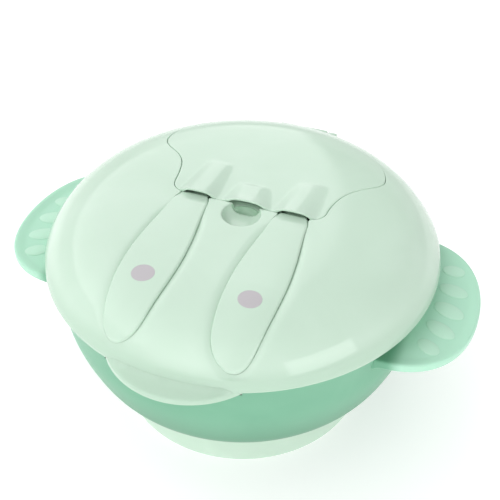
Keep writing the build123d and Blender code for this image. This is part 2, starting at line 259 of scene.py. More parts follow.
def revolve(S, prof, seg=288, closed=True, a0=0.0, a1=2 * math.pi):
    """Surface of revolution of (radius, height) points. A closed profile makes a ring; one that starts and ends on the axis is capped by fans."""
    prof = np.asarray(prof, float)
    ang = a0 + (a1 - a0) * np.arange(seg) / seg
    rows = []
    for r, z in prof:
        if r < 1e-6:
            rows.append(S.pts([[0, 0, z]]))
        else:
            rows.append(S.pts(np.column_stack([r * np.cos(ang), r * np.sin(ang), np.full(seg, z)])))
    pairs = list(zip(rows[:-1], rows[1:])) + ([(rows[-1], rows[0])] if closed else [])
    for a, b in pairs:
        if len(a) == 1 and len(b) == 1:
            continue
        if len(a) == 1 or len(b) == 1:
            one, many = (a, b) if len(a) == 1 else (b, a)
            for i in range(seg):
                j = (i + 1) % seg
                f = (int(one[0]), int(many[i]), int(many[j]))
                S.f.append(f if len(a) == 1 else f[::-1])
        else:
            S.ladder(a, b)


def fillet_profile(pts, radii, seg=4):
    """Rounds the corners of an open or closed polyline of (r, z); radii gives the size at each point, 0 to keep it sharp."""
    out = []
    m = len(pts)
    for i, (p, r) in enumerate(zip(pts, radii)):
        if r <= 0 or i == 0 or i == m - 1:
            out.append(tuple(p))
            continue
        a, b, c = np.array(pts[i - 1], float), np.array(p, float), np.array(pts[i + 1], float)
        u, v = a - b, c - b
        lu, lv = np.linalg.norm(u), np.linalg.norm(v)
        k = min(r, lu * 0.49, lv * 0.49)
        p0, p1 = b + u / lu * k, b + v / lv * k
        for s in np.linspace(0, 1, seg + 1):
            out.append(tuple((1 - s) ** 2 * p0 + 2 * s * (1 - s) * b + s ** 2 * p1))
    return out


# ---------------------------------------------------------------- materials
def srgb(r, g, b):
    def f(c):
        c = c / 255.0
        return c / 12.92 if c <= 0.04045 else ((c + 0.055) / 1.055) ** 2.4
    return (f(r), f(g), f(b), 1.0)


def paint_light_and_shade(m, painted_light_colour, painted_light_x, painted_shade_colour, painted_shade_z):
    """Painted light and shade: a lighter tone painted on across a band of |x|, and a deeper tone painted on across a
    band of height, standing in for light and shade.
    """
    nt = m.node_tree
    N, L = nt.nodes.new, nt.links.new
    bsdf = [n for n in nt.nodes if n.type == "BSDF_PRINCIPLED"][0]
    src = bsdf.inputs["Base Color"].links[0].from_socket
    co = N("ShaderNodeTexCoord")
    sep = N("ShaderNodeSeparateXYZ")
    L(co.outputs["Object"], sep.inputs["Vector"])
    ab = N("ShaderNodeMath")
    ab.operation = "ABSOLUTE"
    L(sep.outputs["X"], ab.inputs[0])
    # painted light across |x| first, then painted shade by height
    for socket, a, b, colour in ((ab.outputs["Value"], *painted_light_x, painted_light_colour), (sep.outputs["Z"], *painted_shade_z, painted_shade_colour)):
        mr = N("ShaderNodeMapRange")
        mr.interpolation_type = "SMOOTHSTEP"
        mr.inputs["From Min"].default_value = a
        mr.inputs["From Max"].default_value = b
        L(socket, mr.inputs["Value"])
        mix = N("ShaderNodeMix")
        mix.data_type = "RGBA"
        mix.inputs["B"].default_value = colour
        L(mr.outputs["Result"], mix.inputs["Factor"])
        L(src, mix.inputs["A"])
        src = mix.outputs["Result"]
    L(src, bsdf.inputs["Base Color"])


def paint_recess_shade(m, at, radius, front, sag, z_from, z_to, colour):
    """Painted shade: a deeper colour painted into the back of a round recess, behind a curved line, where little light
    gets in.
    """
    nt = m.node_tree
    N, L = nt.nodes.new, nt.links.new
    bsdf = [n for n in nt.nodes if n.type == "BSDF_PRINCIPLED"][0]
    src = bsdf.inputs["Base Color"].links[0].from_socket

    def math_node(op, a, b):
        n = N("ShaderNodeMath")
        n.operation = op
        for k, v in enumerate((a, b)):
            if isinstance(v, (int, float)):
                n.inputs[k].default_value = v
            else:
                L(v, n.inputs[k])
        return n.outputs["Value"]

    co = N("ShaderNodeTexCoord")
    sep = N("ShaderNodeSeparateXYZ")
    L(co.outputs["Object"], sep.inputs["Vector"])
    dx = math_node("SUBTRACT", sep.outputs["X"], at[0])
    dy = math_node("SUBTRACT", sep.outputs["Y"], at[1])
    dx2 = math_node("MULTIPLY", dx, dx)
    r2 = math_node("ADD", dx2, math_node("MULTIPLY", dy, dy))
    near = math_node("LESS_THAN", r2, radius ** 2)
    line = math_node("ADD", math_node("MULTIPLY", dx2, sag / radius ** 2), front - sag)
    behind = math_node("GREATER_THAN", sep.outputs["Y"], line)
    mr = N("ShaderNodeMapRange")
    mr.interpolation_type = "SMOOTHSTEP"
    mr.inputs["From Min"].default_value = z_from
    mr.inputs["From Max"].default_value = z_to
    L(sep.outputs["Z"], mr.inputs["Value"])
    both = math_node("MULTIPLY", math_node("MULTIPLY", near, behind), mr.outputs["Result"])
    mix = N("ShaderNodeMix")
    mix.data_type = "RGBA"
    mix.inputs["B"].default_value = colour
    L(both, mix.inputs["Factor"])
    L(src, mix.inputs["A"])
    L(mix.outputs["Result"], bsdf.inputs["Base Color"])


def plastic(name, base, dark, light, rough=0.34, spread=0.05, grain=0.06, sub=0.12, radius=(0.0016, 0.0024, 0.0018), coat=0.0, spec=0.5, flow=38.0, grain_scale=2600.0, painted_edge_light=0.0):
    """Moulded plastic: slow flow marks in the colour, fine grain in roughness and bump, and, when the edge amount is
    above zero, painted light: a lighter tone painted along thin, convex edges.
    """
    m = bpy.data.materials.new(name)
    m.use_nodes = True
    nt = m.node_tree
    for n in list(nt.nodes):
        nt.nodes.remove(n)
    N, L = nt.nodes.new, nt.links.new
    out = N("ShaderNodeOutputMaterial")
    bsdf = N("ShaderNodeBsdfPrincipled")
    L(bsdf.outputs["BSDF"], out.inputs["Surface"])
    co = N("ShaderNodeTexCoord")
    slow = N("ShaderNodeTexNoise")
    slow.inputs["Scale"].default_value = flow
    slow.inputs["Detail"].default_value = 3.0
    slow.inputs["Distortion"].default_value = 0.6
    L(co.outputs["Object"], slow.inputs["Vector"])
    ramp = N("ShaderNodeValToRGB")
    ramp.color_ramp.elements[0].position = 0.30
    ramp.color_ramp.elements[0].color = dark
    ramp.color_ramp.elements[1].position = 0.72
    ramp.color_ramp.elements[1].color = light
    mid = ramp.color_ramp.elements.new(0.5)
    mid.color = base
    L(slow.outputs["Fac"], ramp.inputs["Fac"])
    # painted light: a lighter tone along convex edges, found by pointiness, in place of light showing through thin
    # plastic
    if painted_edge_light > 0:
        geo = N("ShaderNodeNewGeometry")
        er = N("ShaderNodeMapRange")
        er.inputs["From Min"].default_value = 0.505
        er.inputs["From Max"].default_value = 0.60
        er.inputs["To Max"].default_value = painted_edge_light
        L(geo.outputs["Pointiness"], er.inputs["Value"])
        mix = N("ShaderNodeMix")
        mix.data_type = "RGBA"
        mix.inputs["B"].default_value = light
        L(er.outputs["Result"], mix.inputs["Factor"])
        L(ramp.outputs["Color"], mix.inputs["A"])
        L(mix.outputs["Result"], bsdf.inputs["Base Color"])
    else:
        L(ramp.outputs["Color"], bsdf.inputs["Base Color"])
    fine = N("ShaderNodeTexNoise")
    fine.inputs["Scale"].default_value = grain_scale
    fine.inputs["Detail"].default_value = 2.0
    L(co.outputs["Object"], fine.inputs["Vector"])
    rr = N("ShaderNodeMapRange")
    rr.inputs["To Min"].default_value = rough - spread
    rr.inputs["To Max"].default_value = rough + spread
    L(fine.outputs["Fac"], rr.inputs["Value"])
    L(rr.outputs["Result"], bsdf.inputs["Roughness"])
    bump = N("ShaderNodeBump")
    bump.inputs["Strength"].default_value = grain
    bump.inputs["Distance"].default_value = 0.00006
    L(fine.outputs["Fac"], bump.inputs["Height"])
    L(bump.outputs["Normal"], bsdf.inputs["Normal"])
    bsdf.inputs["Subsurface Weight"].default_value = sub
    bsdf.inputs["Subsurface Radius"].default_value = radius
    bsdf.inputs["Subsurface Scale"].default_value = 1.0
    bsdf.inputs["IOR"].default_value = 1.46
    bsdf.inputs["Specular IOR Level"].default_value = spec
    if coat > 0:
        bsdf.inputs["Coat Weight"].default_value = coat
        bsdf.inputs["Coat Roughness"].default_value = 0.08
    return m


MAT = {
    "lid": plastic("lid_pp", srgb(200, 224, 206), srgb(198, 222, 204), srgb(203, 226, 209), rough=0.08, spread=0.02, grain=0.015, sub=0.06),
    "cover": plastic("cover_pp", srgb(200, 224, 206), srgb(198, 222, 204), srgb(203, 226, 209), rough=0.08, spread=0.02, grain=0.015, sub=0.03),
    "handle": plastic("handle_pp", srgb(200, 224, 206), srgb(198, 222, 204), srgb(203, 226, 209), rough=0.18, spread=0.03, grain=0.03, sub=0.06),
    "bowl": plastic("bowl_pp", srgb(122, 179, 149), srgb(119, 176, 146), srgb(126, 183, 153), rough=0.36, spread=0.04, grain=0.05, sub=0.10, spec=0.22),
    "grip": plastic("grip_tpe", srgb(192, 234, 210), srgb(189, 231, 207), srgb(196, 237, 214), rough=0.45, grain=0.12, sub=0.10),
    "cup": plastic("cup_silicone", srgb(208, 230, 213), srgb(205, 227, 210), srgb(212, 233, 217), rough=0.42, grain=0.10, sub=0.2),
    "hub": plastic("hub_pp", srgb(150, 196, 170), srgb(146, 192, 166), srgb(154, 200, 174), rough=0.38),
    "seal": plastic("seal_silicone", srgb(224, 232, 226), srgb(220, 229, 223), srgb(229, 236, 231), rough=0.45, grain=0.12, sub=0.3),
    "head": plastic("head_silicone", srgb(186, 222, 198), srgb(182, 218, 194), srgb(191, 226, 203), rough=0.42, grain=0.10, sub=0.25),
    "mark": plastic("pad_print", srgb(190, 186, 190), srgb(187, 183, 187), srgb(193, 189, 193), rough=0.4, grain=0.05, sub=0.0),
}
# painted light: a lighter tone on the ears and the bowl's sides beside them, lifting the shade under the lid's
# overhang; painted shade: a deeper tone darkening the lower bowl towards its foot
paint_light_and_shade(MAT["bowl"], srgb(182, 228, 204), (0.0610, 0.0665), srgb(80, 139, 107), (0.046, 0.016))
# painted shade: a deeper tone on the cup's upper part against the bowl, in place of the bowl's contact shadow; the
# lighter tone is the cup's own colour and lies beyond its radius
paint_light_and_shade(MAT["cup"], srgb(208, 230, 213), (0.0900, 0.0950), srgb(158, 196, 170), (0.0070, 0.0108))
# painted shade: a deeper tone on the lid's lower band, from the shoulder down to the edge and the pull tab; the lighter
# tone is the lid's own colour and lies beyond its radius
paint_light_and_shade(MAT["lid"], srgb(200, 224, 206), (0.0900, 0.0950), srgb(184, 211, 191), (0.0715, 0.0650))

# ---------------------------------------------------------------- outlines, mm
COVER = [(0.0, 0.8), (11.0, 0.8), (18.0, 0.6), (24.6, 1.1), (27.2, 2.4), (28.4, 4.8), (28.7, 8.6), (29.7, 13.0), (31.6, 17.6), (34.4, 21.4), (37.6, 24.4),
         (40.6, 26.9), (42.5, 29.6), (42.7, 32.6), (41.6, 36.4), (38.0, 43.0), (31.5, 51.2), (23.5, 58.2), (15.4, 63.0), (10.8, 65.8), (9.8, 68.2)]
COVER_L = [(0.0, 0.8), (11.0, 0.8), (18.0, 0.6), (23.8, 1.2), (26.2, 2.5), (27.6, 4.7), (28.1, 8.6), (28.8, 13.0), (30.2, 17.9), (32.6, 21.4), (35.9, 24.0),
           (38.9, 26.3), (40.9, 28.9), (41.5, 31.6), (41.0, 36.0), (37.9, 43.0), (31.5, 51.2), (23.5, 58.2), (15.4, 63.0), (10.8, 65.8), (9.8, 68.2)]
LEAF = [(-64.4, 1.6), (-63.7, 3.5), (-62.2, 5.3), (-60.0, 6.5), (-57.0, 7.3), (-54.0, 7.8), (-50.0, 8.3), (-46.0, 8.7), (-42.0, 8.95), (-38.0, 9.1),
        (-34.0, 9.1), (-30.0, 8.95), (-26.0, 8.65), (-22.0, 8.3), (-18.0, 7.8), (-14.0, 7.25), (-10.0, 6.75), (-6.0, 6.35), (-2.0, 5.95), (0.6, 5.0)]
TRAY = [(25.6, 5.2), (26.4, 8.8), (27.4, 13.4), (29.2, 18.6), (32.2, 23.2), (36.0, 26.4), (38.6, 28.6), (39.4, 31.2), (38.9, 35.6), (36.0, 41.2), (30.2, 47.6), (24.0, 52.0)]


def mirrored(half):
    h = [tuple(p) for p in half]
    return h + [(-x, y) for x, y in reversed(h) if x > 1e-6]


def cover_loop(grow_front, grow_rear, y_end, step=0.5):
    right = catmull(COVER, closed=False, n=12)
    left = catmull(COVER_L, closed=False, n=12) * np.array([-1.0, 1.0])
    loop = np.vstack([right, [[9.8, y_end], [-9.8, y_end]], left[::-1][:-1]])
    loop = ccw(resample(loop, step))
    loop = soften(loop, 5)
    n = out_normals(loop)
    w = smooth01((loop[:, 1] - 33.0) / 10.0)
    g = grow_front + (grow_rear - grow_front) * w
    return loop + n * g[:, None]


def leaf_loop(grow, y_end, step=0.5, x0=0.0, right_more=0.0):
    right = catmull([(w, y) for y, w in LEAF], closed=False, n=8)
    right = right[right[:, 1] < y_end - 0.4]
    pts = np.vstack([right, [[right[-1, 0], y_end]], [[-right[-1, 0], y_end]], [(-x, y) for x, y in right[::-1]], [[0.0, -64.7]]])
    loop = soften(ccw(resample(pts, step)), 4)
    n = out_normals(loop)
    return loop + n * (grow + right_more * smooth01(n[:, 0]))[:, None] + np.array([x0, 0.0])


# ---------------------------------------------------------------- lid
seam = cover_loop(0.20, 0.40, 80.0)
chan_r = leaf_loop(0.155, 7.0, x0=UX, right_more=0.09)
chan_l = leaf_loop(0.155, 7.0, x0=-UX, right_more=0.09)
tray = ccw(soften(resample(np.array(mirrored(TRAY)), 0.8), 6))
DISH = np.array([1.0, -4.2])
DISH_R, DISH_D = 6.8, 2.9
dish = np.array([(DISH[0] + DISH_R * math.cos(a), DISH[1] + DISH_R * math.sin(a)) for a in np.linspace(0, 2 * math.pi, 96, endpoint=False)])
STEP_IN = 0.04
z_dish = RIM + float(dome(float(np.hypot(*DISH))))
# painted shade: a deeper tone in the back of the finger dish, behind the flap's front edge, where the dish floor lies
# in shade
paint_recess_shade(MAT["lid"], (DISH[0] * 0.001, DISH[1] * 0.001), (DISH_R + 0.05) * 0.001, 0.0009, 0.0018, (z_dish - 0.10) * 0.001, (z_dish - 0.40) * 0.001, srgb(160, 196, 169))


def edge_depth(d, r, deep):
    """Depth below the dome across an edge: d is the distance outside it. A quarter round, then a wall."""
    e = np.zeros_like(d)
    r = np.broadcast_to(np.asarray(r, float), d.shape)
    k = (d >= 0) & (d < r)
    e[k] = r[k] - np.sqrt(np.maximum(r[k] ** 2 - (r[k] - d[k]) ** 2, 0))
    k = (d < 0) & (d > -STEP_IN)
    e[k] = r[k] + (deep - r[k]) * (-d[k] / STEP_IN)
    e[d <= -STEP_IN] = deep
    return e


def lid_depth(p):
    x, y = p[:, 0], p[:, 1]
    ds = sdist(p, seam)
    dl, dr = sdist(p, chan_l), sdist(p, chan_r)
    dc = np.minimum(dl, dr)
    dd = np.hypot(x - DISH[0], y - DISH[1]) - DISH_R
    dt = sdist(p, tray)
    e = edge_depth(ds, 0.28 - 0.24 * smooth01((y - 33.0) / 6.0), SEAT)
    # a soft dip in the dome all round each handle, deeper on its right, which fades out towards the flap
    side = smooth01((np.where(dl < dr, x + UX, x - UX) + 3.0) / 6.0)
    ch = edge_depth(dc, 0.06 + 0.12 * side, 3.6)
    soft = (0.66 + 0.20 * side) * np.clip(1 - np.maximum(dc, 0) / 3.4, 0, 1) ** 2 * smooth01((-y - 2.0) / 14.0)
    ch = np.where(dc > 0, ch + soft, np.maximum(ch, soft))
    e = np.maximum(e, ch)
    inside = dd < 0
    bowl = np.zeros(len(p))
    rr = np.hypot(x - DISH[0], y - DISH[1])
    bowl[inside] = DISH_D * (1 - (rr[inside] / DISH_R) ** 6.0) ** 0.75
    lip = np.clip(1 - np.maximum(dd, 0) / 0.7, 0, 1) ** 2 * 0.12
    # the dish steps down to a deeper finger pocket under the flap
    deep = smooth01((y - (0.9 - 1.8 * (1 - ((x - DISH[0]) / DISH_R) ** 2)) + 0.08) / 0.16)
    bowl[inside] += 1.5 * deep[inside] * (1 - (rr[inside] / DISH_R) ** 6.0) ** 0.5
    e = np.maximum(e, np.where(inside, bowl + 0.12, lip))
    z_tray = 8.5
    zt = dome_xy(x, y)
    tr = np.where(dt <= -STEP_IN, zt - z_tray, np.where(dt < 0, SEAT + (zt - z_tray - SEAT) * (-dt / STEP_IN), 0.0))
    e = np.maximum(e, tr)
    return e


def lid_piece():
    S = Shape()
    rows = [(seam, (1.6, 0.9, 0.5, 0.28, 0.18, 0.10, 0.04, 0.0, -STEP_IN, -0.5), 0),
            (chan_r, (3.6, 2.8, 2.0, 1.3, 0.8, 0.40, 0.22, 0.14, 0.07, 0.02, 0.0, -STEP_IN, -0.45, -1.2), 1),
            (chan_l, (3.6, 2.8, 2.0, 1.3, 0.8, 0.40, 0.22, 0.14, 0.07, 0.02, 0.0, -STEP_IN, -0.45, -1.2), 2),
            (dish, (0.9, 0.5, 0.2, 0.0, -0.06, -0.15, -0.3, -0.55, -0.9, -1.4, -2.0, -2.8, -3.8, -5.0, -6.3), 3),
            (tray, (0.8, 0.0, -STEP_IN, -0.6), 4)]
    keep_p, edges, count = [], [], 0
    for loop, offs, tag in rows:
        n = out_normals(loop)
        for o in offs:
            p = loop + n * o
            rho = np.hypot(p[:, 0], p[:, 1])
            ok = rho < 68.2
            # rows that have folded over themselves in a tight bend are left out
            ok &= np.abs(sdist(p, loop) - o) < 0.02 + 0.05 * abs(o)
            if tag != 0:
                ok &= np.abs(sdist(p, seam)) > (0.75 if tag in (1, 2) else 0.9)
            if tag == 0:
                for c in (chan_l, chan_r):
                    ok &= ~((sdist(p, c) < 0.6) & (o > 0.1))
            if tag in (1, 2):
                ok &= ~((sdist(p, seam) < 0.5) & (np.abs(sdist(p, tray)) < 0.9))
                ok &= ~((np.hypot(p[:, 0] - DISH[0], p[:, 1] - DISH[1]) < DISH_R + 1.1))
                other = chan_l if tag == 1 else chan_r
                ok &= sdist(p, other) > 0.5
            if tag == 4:
                ok &= (np.minimum(sdist(p, chan_l), sdist(p, chan_r)) > 0.5)
            idx = np.where(ok)[0]
            pos = {int(i): count + k for k, i in enumerate(idx)}
            if o in (0.0, -STEP_IN, 0.28, 0.22):
                m = len(loop)
                edges += [(pos[i], pos[(i + 1) % m]) for i in pos if (i + 1) % m in pos]
            keep_p.append(p[idx])
            count += len(idx)
    feat = np.vstack(keep_p)
    rho_list = (57.0, 58.6, 60.0, 61.3, 62.5, 63.6, 64.6, 65.5, 66.3, 67.0, 67.6, 68.15)
    ang = 2 * math.pi * np.arange(360) / 360
    rings = np.vstack([np.stack([r * np.cos(ang), r * np.sin(ang)], 1) for r in rho_list])
    grid = hexgrid((-56.5, -56.5), (56.5, 56.5), 1.7)
    grid = grid[np.hypot(grid[:, 0], grid[:, 1]) < 56.0]
    fill = np.vstack([rings, grid])
    near = np.full(len(fill), True)
    near &= ~((sdist(fill, seam) > -1.0) & (sdist(fill, seam) < 2.2))
    for c in (chan_l, chan_r):
        d = sdist(fill, c)
        near &= ~((d > -1.9) & (d < 4.1))
    near &= np.hypot(fill[:, 0] - DISH[0], fill[:, 1] - DISH[1]) > DISH_R + 1.3
    dt = sdist(fill, tray)
    near &= ~((dt > -1.1) & (dt < 1.3))
    fill = fill[near]
    edge_ring = np.stack([68.6 * np.cos(ang), 68.6 * np.sin(ang)], 1)
    plan = np.vstack([feat, fill, edge_ring])
    z = dome_xy(plan[:, 0], plan[:, 1]) - lid_depth(plan)
    z = np.maximum(z, 0.5)
    idx = S.pts(np.column_stack([plan, z]))
    S.tris(idx, plan, keep=None, edges=edges)
    top_ring = idx[-360:]
    zr = z[-360:]
    # rounded shoulder into the straight edge, the lower edge, and the inside with skirt and seal seat
    prev = top_ring
    bez = [((1 - t) ** 2 * 68.6 + 2 * t * (1 - t) * 70.0 + t * t * 70.0, (1 - t) ** 2 * float(dome(68.6)) + 2 * t * (1 - t) * 2.7 + t * t * 0.6) for t in np.linspace(0.1, 1.0, 10)]
    for r, zz in (*bez, (69.9, 0.22), (69.7, 0.05), (69.4, 0.0), (68.2, 0.0), (67.95, 0.06), (67.82, 0.3), (67.4, 1.2), (66.7, 2.4),
                  (66.5, 2.6), (63.4, 2.6), (63.2, 2.4), (63.2, -4.1), (63.1, -4.4), (62.8, -4.5), (61.9, -4.5), (61.6, -4.4), (61.5, -4.1), (61.5, 9.6), (61.35, 10.3), (61.0, 10.9)):
        row = S.pts(np.column_stack([r * np.cos(ang), r * np.sin(ang), np.minimum(zz, zr - 0.02) if zz > 0.4 and r > 68.5 else np.full(360, zz)]))
        S.ladder(prev, row)
        prev = row
    # underside: the shell, with the channels, the tray and the dish standing down from it
    g = hexgrid((-60, -60), (60, 60), 1.25)
    g = g[np.hypot(g[:, 0], g[:, 1]) < 59.9]
    r1 = np.stack([60.4 * np.cos(ang), 60.4 * np.sin(ang)], 1)
    under_plan = np.vstack([g, r1])
    x, y = under_plan[:, 0], under_plan[:, 1]
    zd = dome_xy(x, y)
    zu = zd - 2.2
    dc = np.minimum(sdist(under_plan, chan_l), sdist(under_plan, chan_r))
    zu = np.minimum(zu, np.where(y < 8.5, zd - 2.2 - 2.7 * smooth01((2.6 - dc) / 1.3), zu))
    dt = sdist(under_plan, tray)
    zu = np.minimum(zu, zd - 2.2 + (7.0 - (zd - 2.2)) * smooth01((2.4 - dt) / 1.3))
    dd = np.hypot(x - DISH[0], y - DISH[1]) - DISH_R
    zu = np.minimum(zu, zd - 2.2 - 3.5 * smooth01((2.6 - dd) / 1.6))
    zu = np.where(np.hypot(x, y) > 60.2, 11.35, zu)
    ui = S.pts(np.column_stack([under_plan, zu]))
    ring_i = ui[-360:]
    S.ladder(prev, ring_i)
    S.tris(ui, under_plan)
    for v in S.v:
        v[:, 2] += RIM
    return S


lid = lid_piece()

# front pull tab
tab_out = []
for a in np.linspace(math.radians(-172), math.radians(-8), 120):
    tab_out.append((29.3 * math.cos(a), -46.7 + 29.3 * math.sin(a)))
tab_out = np.array(tab_out)
tab_out = tab_out[np.hypot(tab_out[:, 0], tab_out[:, 1]) > 68.0]
a_l = math.atan2(tab_out[0, 1], tab_out[0, 0])
a_r = math.atan2(tab_out[-1, 1], tab_out[-1, 0])
inner = np.array([(68.2 * math.cos(a), 68.2 * math.sin(a)) for a in np.linspace(a_r, a_l, 60)])
tab_loop = soften(ccw(resample(np.vstack([tab_out, inner]), 0.5)), 6)


def tab_top(x, y):
    d_out = np.maximum(29.3 - np.hypot(x, y + 46.7), 0.0)
    d_in = np.maximum(np.hypot(x, y) - 69.3, 0.0)
    z = 0.20 + 1.75 * (d_out / np.maximum(d_out + d_in, 1e-6)) ** 1.1
    foot = 1.5 * np.clip(1 - (d_in + 0.35) / 2.2, 0, 1) ** 2 * smooth01(d_out / 2.5)
    return RIM + z + foot + 0.18 * smooth01((1.9 - d_out) / 0.9)


slab(lid, tab_loop, tab_top, lambda x, y: np.full(np.shape(x), RIM - 1.8), r=0.55, rb=0.4, fill=1.5)

# hinge lugs: rounded ears on the rear edge
lug = [(68.0, 0.5), (72.2, 0.8), (73.7, 1.8), (74.2, 3.4), (73.5, 4.8), (71.9, 5.5), (69.6, 5.6), (66.9, 6.6), (66.9, 4.2)]
lug_loop = ccw(soften(resample(np.array(lug), 0.35), 5))
for x0 in (-13.9, 10.3):
    T = Shape()
    slab(T, lug_loop, lambda x, y: np.full(np.shape(x), 3.6), lambda x, y: np.zeros(np.shape(x)), r=0.45, rb=0.45, fill=1.0, support=0.15)
    m = Matrix(((0, 0, 1, x0), (1, 0, 0, 0), (0, 1, 0, RIM), (0, 0, 0, 1)))
    lid.add(T, m)
lid_ob = lid.build("lid_moulding", "lid", "lid_mint", MAT["lid"], replaces=("lid_shell",))


# ---------------------------------------------------------------- utensil cover
ARCHES = ((-17.3, -16.0, 7.3, 21.8, 2.2), (0.9, -0.2, 8.8, 12.4, 2.2), (18.1, 19.4, 7.8, 19.8, 2.2))   # centre at the front edge and at the rear end, half width, length, rise


def arch(x, y):
    h = np.zeros(np.shape(x))
    for c0, c1, w, length, rise in ARCHES:
        s = np.clip((y - 0.6) / length, 0, 0.999)
        ww = w * (1 - 0.30 * s)
        u = np.clip(np.abs(x - c0 - (c1 - c0) * s) / ww, 0, 1)
        across = np.where(u < 0.5, 1 - 0.6 * u * u, 0.85 * (1 - u) / 0.5)
        h = np.maximum(h, rise * (0.60 * (1 - s) ** 2.5 + 0.40 * (1 - s ** 6)) * across)
    return h


def cover_top(x, y):
    rho = np.hypot(x, y)
    z = dome(np.minimum(rho, 69.6)) + arch(x, y)
    return RIM + z


def cover_bot(x, y):
    rho = np.hypot(x, y)
    a = arch(x, y)
    z = dome(np.minimum(rho, 69.3)) - COVER_T + np.minimum(a * 1.7, a + 0.95)
    return RIM + z


COV = Shape()
cov_loop = cover_loop(0.0, 0.37, 71.2, step=0.42)
rear = smooth01((cov_loop[:, 1] - 33.0) / 10.0)
slab(COV, cov_loop, cover_top, cover_bot, r=0.38 - 0.33 * smooth01((cov_loop[:, 1] - 33.0) / 6.0), rb=0.22, fill=0.95, lean=0.95 * rear)
barrel = Shape()
bp = fillet_profile([(0.0, -9.8), (2.4, -9.8), (2.4, 9.8), (0.0, 9.8)], [0, 0.5, 0.5, 0], 4)
revolve(barrel, bp, seg=48, closed=False)
pins = Shape()
revolve(pins, fillet_profile([(0.0, -13.6), (1.2, -13.6), (1.2, 13.6), (0.0, 13.6)], [0, 0.3, 0.3, 0], 3), seg=32, closed=False)
turn = Matrix(((0, 0, 1, 0), (1, 0, 0, HY), (0, 1, 0, RIM + HZ), (0, 0, 0, 1)))
COV.add(barrel, turn)
COV.add(pins, turn)
cov_ob = COV.build("cover_moulding", "cover", "lid_mint", MAT["cover"], replaces=("utensil_cover",))


# ---------------------------------------------------------------- handles
def handle_top(x, y):
    crown = 0.35 - 0.28 * np.clip(np.abs(x - UX) / 9.5, 0, 1) ** 2
    dip = 0.7 * smooth01((y + 4.5) / 5.0)
    return RIM + dome_xy(x, y) + crown - dip


def handle_bot(x, y):
    return RIM + dome_xy(x, y) - 3.2


def grip_shape(x0):
    """One handle: its upper edge is rounded more on the right, where it stands clear of the dome."""
    T = Shape()
    loop = ccw(leaf_loop(0.12, 1.3, step=0.45, x0=x0))
    nx = out_normals(loop)[:, 0]
    s = 1 if x0 > 0 else -1
    slab(T, loop, lambda x, y: handle_top(x * s, y), lambda x, y: handle_bot(x * s, y), r=0.20 + 0.45 * smooth01((nx - 0.1) / 0.6), rb=0.3, fill=1.3, seg=6)
    return T


H = grip_shape(UX)
# neck and tang under the flap
zt = RIM + ZT
neck_plan = [(-5.3, -2), (5.3, -2), (4.6, 1.5), (3.8, 6.5), (3.5, 13.0), (1.9, 14.2), (1.8, 19.1), (-1.8, 19.1), (-1.9, 14.2), (-3.5, 13.0), (-3.8, 6.5), (-4.6, 1.5)]
neck_loop = ccw(soften(resample(np.array(neck_plan), 0.5), 3)) + np.array([UX, 0.0])


def neck_top(x, y):
    return np.interp(y, [-2.0, 0.5, 5.0, 13.0, 19.1], [zt - 1.3, zt - 1.4, zt - 1.9, zt - 4.2, zt - 4.5])


def neck_bot(x, y):
    return np.interp(y, [-2.0, 3.6, 12.0, 19.1], [zt - 3.15, zt - 3.15, zt - 6.3, zt - 6.3])


slab(H, neck_loop, neck_top, neck_bot, r=0.4, rb=0.4, fill=1.2, support=0.2)
mirror_x = Matrix(((-1, 0, 0, 0), (0, 1, 0, 0), (0, 0, 1, 0), (0, 0, 0, 1)))
H2 = grip_shape(-UX)
N2 = Shape()
slab(N2, neck_loop, neck_top, neck_bot, r=0.4, rb=0.4, fill=1.2, support=0.2)
H2.add(N2, mirror_x)
H.build("fork_grip", "fork", "handle_mint", MAT["handle"], replaces=("fork_handle",))
H2.build("spoon_grip", "spoon", "handle_mint", MAT["handle"], replaces=("spoon_handle",))

# a plain round dot, pad printed on each handle
for side, body, name in ((1, "fork", "fork_dot"), (-1, "spoon", "spoon_dot")):
    D = Shape()
    c = np.array([UX * side, -43.3])
    loop = np.array([(c[0] + 3.9 * math.cos(a), c[1] + 3.7 * math.sin(a)) for a in np.linspace(0, 2 * math.pi, 96, endpoint=False)])

    def dot_top(x, y, s=side):
        return handle_top(x * s, y) + 0.05

    def dot_bot(x, y, s=side):
        return handle_top(x * s, y) - 0.12

    slab(D, loop, dot_top, dot_bot, r=0.05, rb=0.03, fill=0.7, support=0.05, seg=2)
    D.build(name, body, "handle_mint", MAT["mark"])

# ---------------------------------------------------------------- spoon and fork heads
SP = Shape()
sp_loop = np.array([(12.5 * math.sin(a) * (1 - 0.06 * math.cos(a)), 33.0 - 17.9 * math.cos(a)) for a in np.linspace(0, 2 * math.pi, 150, endpoint=False)])
sp_loop = ccw(resample(sp_loop, 0.6)) + np.array([UX, 0.0])


def sp_r2(x, y):
    return ((x - UX) / 12.5) ** 2 + ((y - 33.0) / 17.9) ** 2


def sp_top(x, y):
    q = ((x - UX) / 11.3) ** 2 + ((y - 33.6) / 16.1) ** 2
    return zt - 3.8 - 4.0 * np.sqrt(np.clip(1 - q, 0, 1)) ** 1.25


def sp_bot(x, y):
    return zt - 4.6 - 4.35 * np.sqrt(np.clip(1 - sp_r2(x, y), 0, 1))


slab(SP, sp_loop, sp_top, sp_bot, r=0.35, rb=0.3, fill=0.9, support=0.2)
col = ccw(soften(resample(np.array([(-3.9, 14.2), (3.9, 14.2), (4.7, 20.0), (5.2, 23.0), (-5.2, 23.0), (-4.7, 20.0)]), 0.5), 3)) + np.array([UX, 0.0])
slab(SP, col, lambda x, y: np.interp(y, [14.2, 17.5, 23.0], [zt - 3.75, zt - 3.85, zt - 5.8]), lambda x, y: np.interp(y, [14.2, 23.0], [zt - 6.9, zt - 8.0]), r=0.5, rb=0.5, fill=0.9, support=0.2)
SP2 = Shape()
SP2.add(SP, mirror_x)
SP2.build("spoon_head", "spoon", "head_soft", MAT["head"], replaces=("spoon_bowl",))

